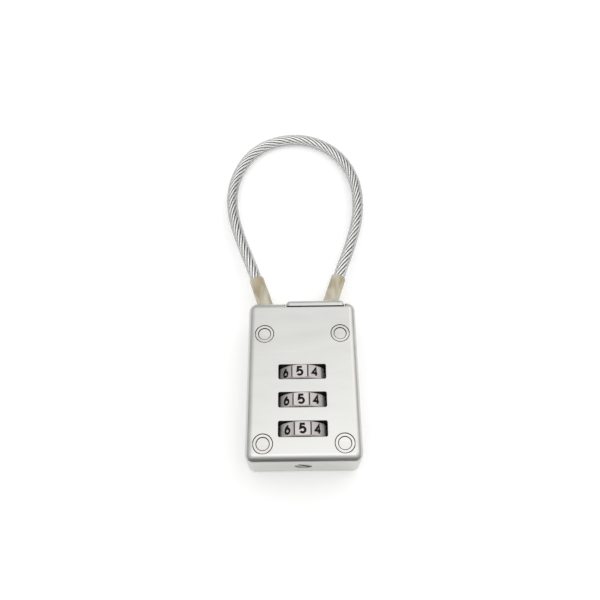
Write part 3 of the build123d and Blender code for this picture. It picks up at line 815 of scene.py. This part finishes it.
def make_dial(place):
    """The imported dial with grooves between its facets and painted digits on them."""
    node = nodes[f"dial_{place}"]
    low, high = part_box(f"dial_{place}")
    middle = Vector((AXIS.x, (low[1] + high[1]) / 2 / MM, AXIS.z))
    turn = radians(DIAL_TURNS[place])
    vertices = [vertex.co / MM for vertex in node.data.vertices]
    faces = [tuple(polygon.vertices) for polygon in node.data.polygons]
    dial = closed_piece(f"dial_{place}_engraved", vertices, faces, MATERIALS["dial"])
    cut(dial, grooves(middle, turn))
    add_shape(dial, *digits(middle, turn), PAINT)
    dial.data.shade_smooth()
    dial.data.set_sharp_from_angle(angle=radians(DIAL_SHARP))
    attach(dial, f"{place}_dial")
    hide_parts(node.name)


for place in DIAL_TURNS:
    make_dial(place)


# ---------------------------------------------------------------- floor and light

# The floor and the card, in metres.
FLOOR_HALF = 3.0
CARD_HALF = 0.4
CARD_FRONT = -0.6
CARD_BACK = -0.040
CARD_HEIGHT = 0.0005
FLOOR_GLOW = 0.24
FLOOR_WHITE = (0.93, 0.93, 0.93)
FLOOR_CREAM = (0.925, 0.925, 0.92)
CARD_BLACK = (0.10, 0.10, 0.10)
CARD_GREY = (0.12, 0.12, 0.12)


def level_sheet(name, half, front, back, height, material):
    """A level rectangle, half of whose width lies on each side of the lock's middle."""
    corners = [(-half, front, height), (half, front, height), (half, back, height), (-half, back, height)]
    return new_piece(name, corners, [(0, 1, 2, 3)], material)


def make_floor():
    """A white sweep that glows a little."""
    surface = Surface(
        "white_sweep", FLOOR_WHITE, roughness=0.7, specular_ior_level=0.0, emission_strength=FLOOR_GLOW
    )
    surface.shader.inputs["Emission Color"].default_value = (1, 1, 1, 1)
    grain = surface.noise(surface.place(), 0.01)
    surface.color(surface.mix(surface.spread(grain, 0, 1), FLOOR_WHITE, FLOOR_CREAM))
    floor = level_sheet("floor", FLOOR_HALF, -FLOOR_HALF, FLOOR_HALF, 0, surface.material)


def make_flag():
    """A black card in front of the lock. Only reflections show it: it darkens the case's lower front edge."""
    surface = Surface("black_card", CARD_BLACK, roughness=0.8)
    grain = surface.noise(surface.place(), 0.5)
    surface.color(surface.mix(surface.spread(grain, 0, 1), CARD_BLACK, CARD_GREY))
    card = level_sheet("flag", CARD_HALF, CARD_FRONT, CARD_BACK, CARD_HEIGHT, surface.material)
    card.visible_camera = False
    card.visible_diffuse = False
    card.visible_transmission = False
    card.visible_shadow = False


# The sky: its light at heights from 0 at the horizon to 1 overhead, the softbox's direction, its light and
# the cosines between which it fades in, and how far towards -Y the sky darkens and how much is left.
SKY = ((0.0, 0.55), (0.35, 0.65), (0.80, 1.08), (0.93, 1.46), (1.0, 1.6))
SKY_TOP = 2.0
BOX_FROM = Vector((0.05, -0.05, 1.0)).normalized()
BOX_LIGHT = 0.8
BOX_EDGE = (cos(radians(24)), cos(radians(8)))
DARK_FRONT = (0.5, 1.1)
DARKNESS = 0.36


def make_sky():
    """White light that fades towards the horizon, a softbox overhead and a dark room behind the camera."""
    world = bpy.data.worlds.new("studio")
    bpy.context.scene.world = world
    world.use_nodes = True
    tree = world.node_tree
    tree.nodes.clear()
    links = tree.links

    def smooth(value, low, high, start, end):
        span = tree.nodes.new("ShaderNodeMapRange")
        span.interpolation_type = "SMOOTHSTEP"
        set_range(span, low, high, start, end)
        links.new(value, span.inputs["Value"])
        return span.outputs["Result"]

    def combine(operation, first, second):
        node = tree.nodes.new("ShaderNodeMath")
        node.operation = operation
        for socket, source in zip(node.inputs, (first, second)):
            if isinstance(source, bpy.types.NodeSocket):
                links.new(source, socket)
            else:
                socket.default_value = source
        return node.outputs[0]

    where = tree.nodes.new("ShaderNodeTexCoord").outputs["Generated"]
    split = tree.nodes.new("ShaderNodeSeparateXYZ")
    links.new(where, split.inputs[0])
    ramp = tree.nodes.new("ShaderNodeValToRGB")
    while len(ramp.color_ramp.elements) < len(SKY):
        ramp.color_ramp.elements.new(0.5)
    for element, (height, light) in zip(ramp.color_ramp.elements, SKY):
        element.position = height
        element.color = (light / SKY_TOP, light / SKY_TOP, light / SKY_TOP, 1)
    links.new(split.outputs["Z"], ramp.inputs["Fac"])
    forward = combine("MULTIPLY", split.outputs["Y"], -1.0)
    front = smooth(forward, SKY_TOP, DARKNESS * SKY_TOP, *DARK_FRONT)
    sky = combine("MULTIPLY", ramp.outputs["Color"], front)
    facing = tree.nodes.new("ShaderNodeVectorMath")
    facing.operation = "DOT_PRODUCT"
    links.new(where, facing.inputs[0])
    facing.inputs[1].default_value = BOX_FROM
    light = combine("ADD", sky, smooth(facing.outputs["Value"], 0, BOX_LIGHT, *BOX_EDGE))
    background = tree.nodes.new("ShaderNodeBackground")
    output = tree.nodes.new("ShaderNodeOutputWorld")
    links.new(light, background.inputs["Strength"])
    links.new(background.outputs[0], output.inputs["Surface"])


KEY_STRENGTH = 0.28
KEY_FROM = Vector((0.55, 0.50, 0.75))
KEY_WIDTH = radians(45)


def make_key_light():
    """A broad light from behind the lock's upper right, which puts its soft shadow at the lower left."""
    data = bpy.data.lights.new("key", "SUN")
    data.energy = KEY_STRENGTH
    data.angle = KEY_WIDTH
    key = bpy.data.objects.new("key", data)
    key.rotation_euler = KEY_FROM.to_track_quat("Z", "Y").to_euler()
    bpy.context.scene.collection.objects.link(key)


make_floor()
make_flag()
make_sky()
make_key_light()
bpy.context.scene.view_settings.view_transform = "Standard"
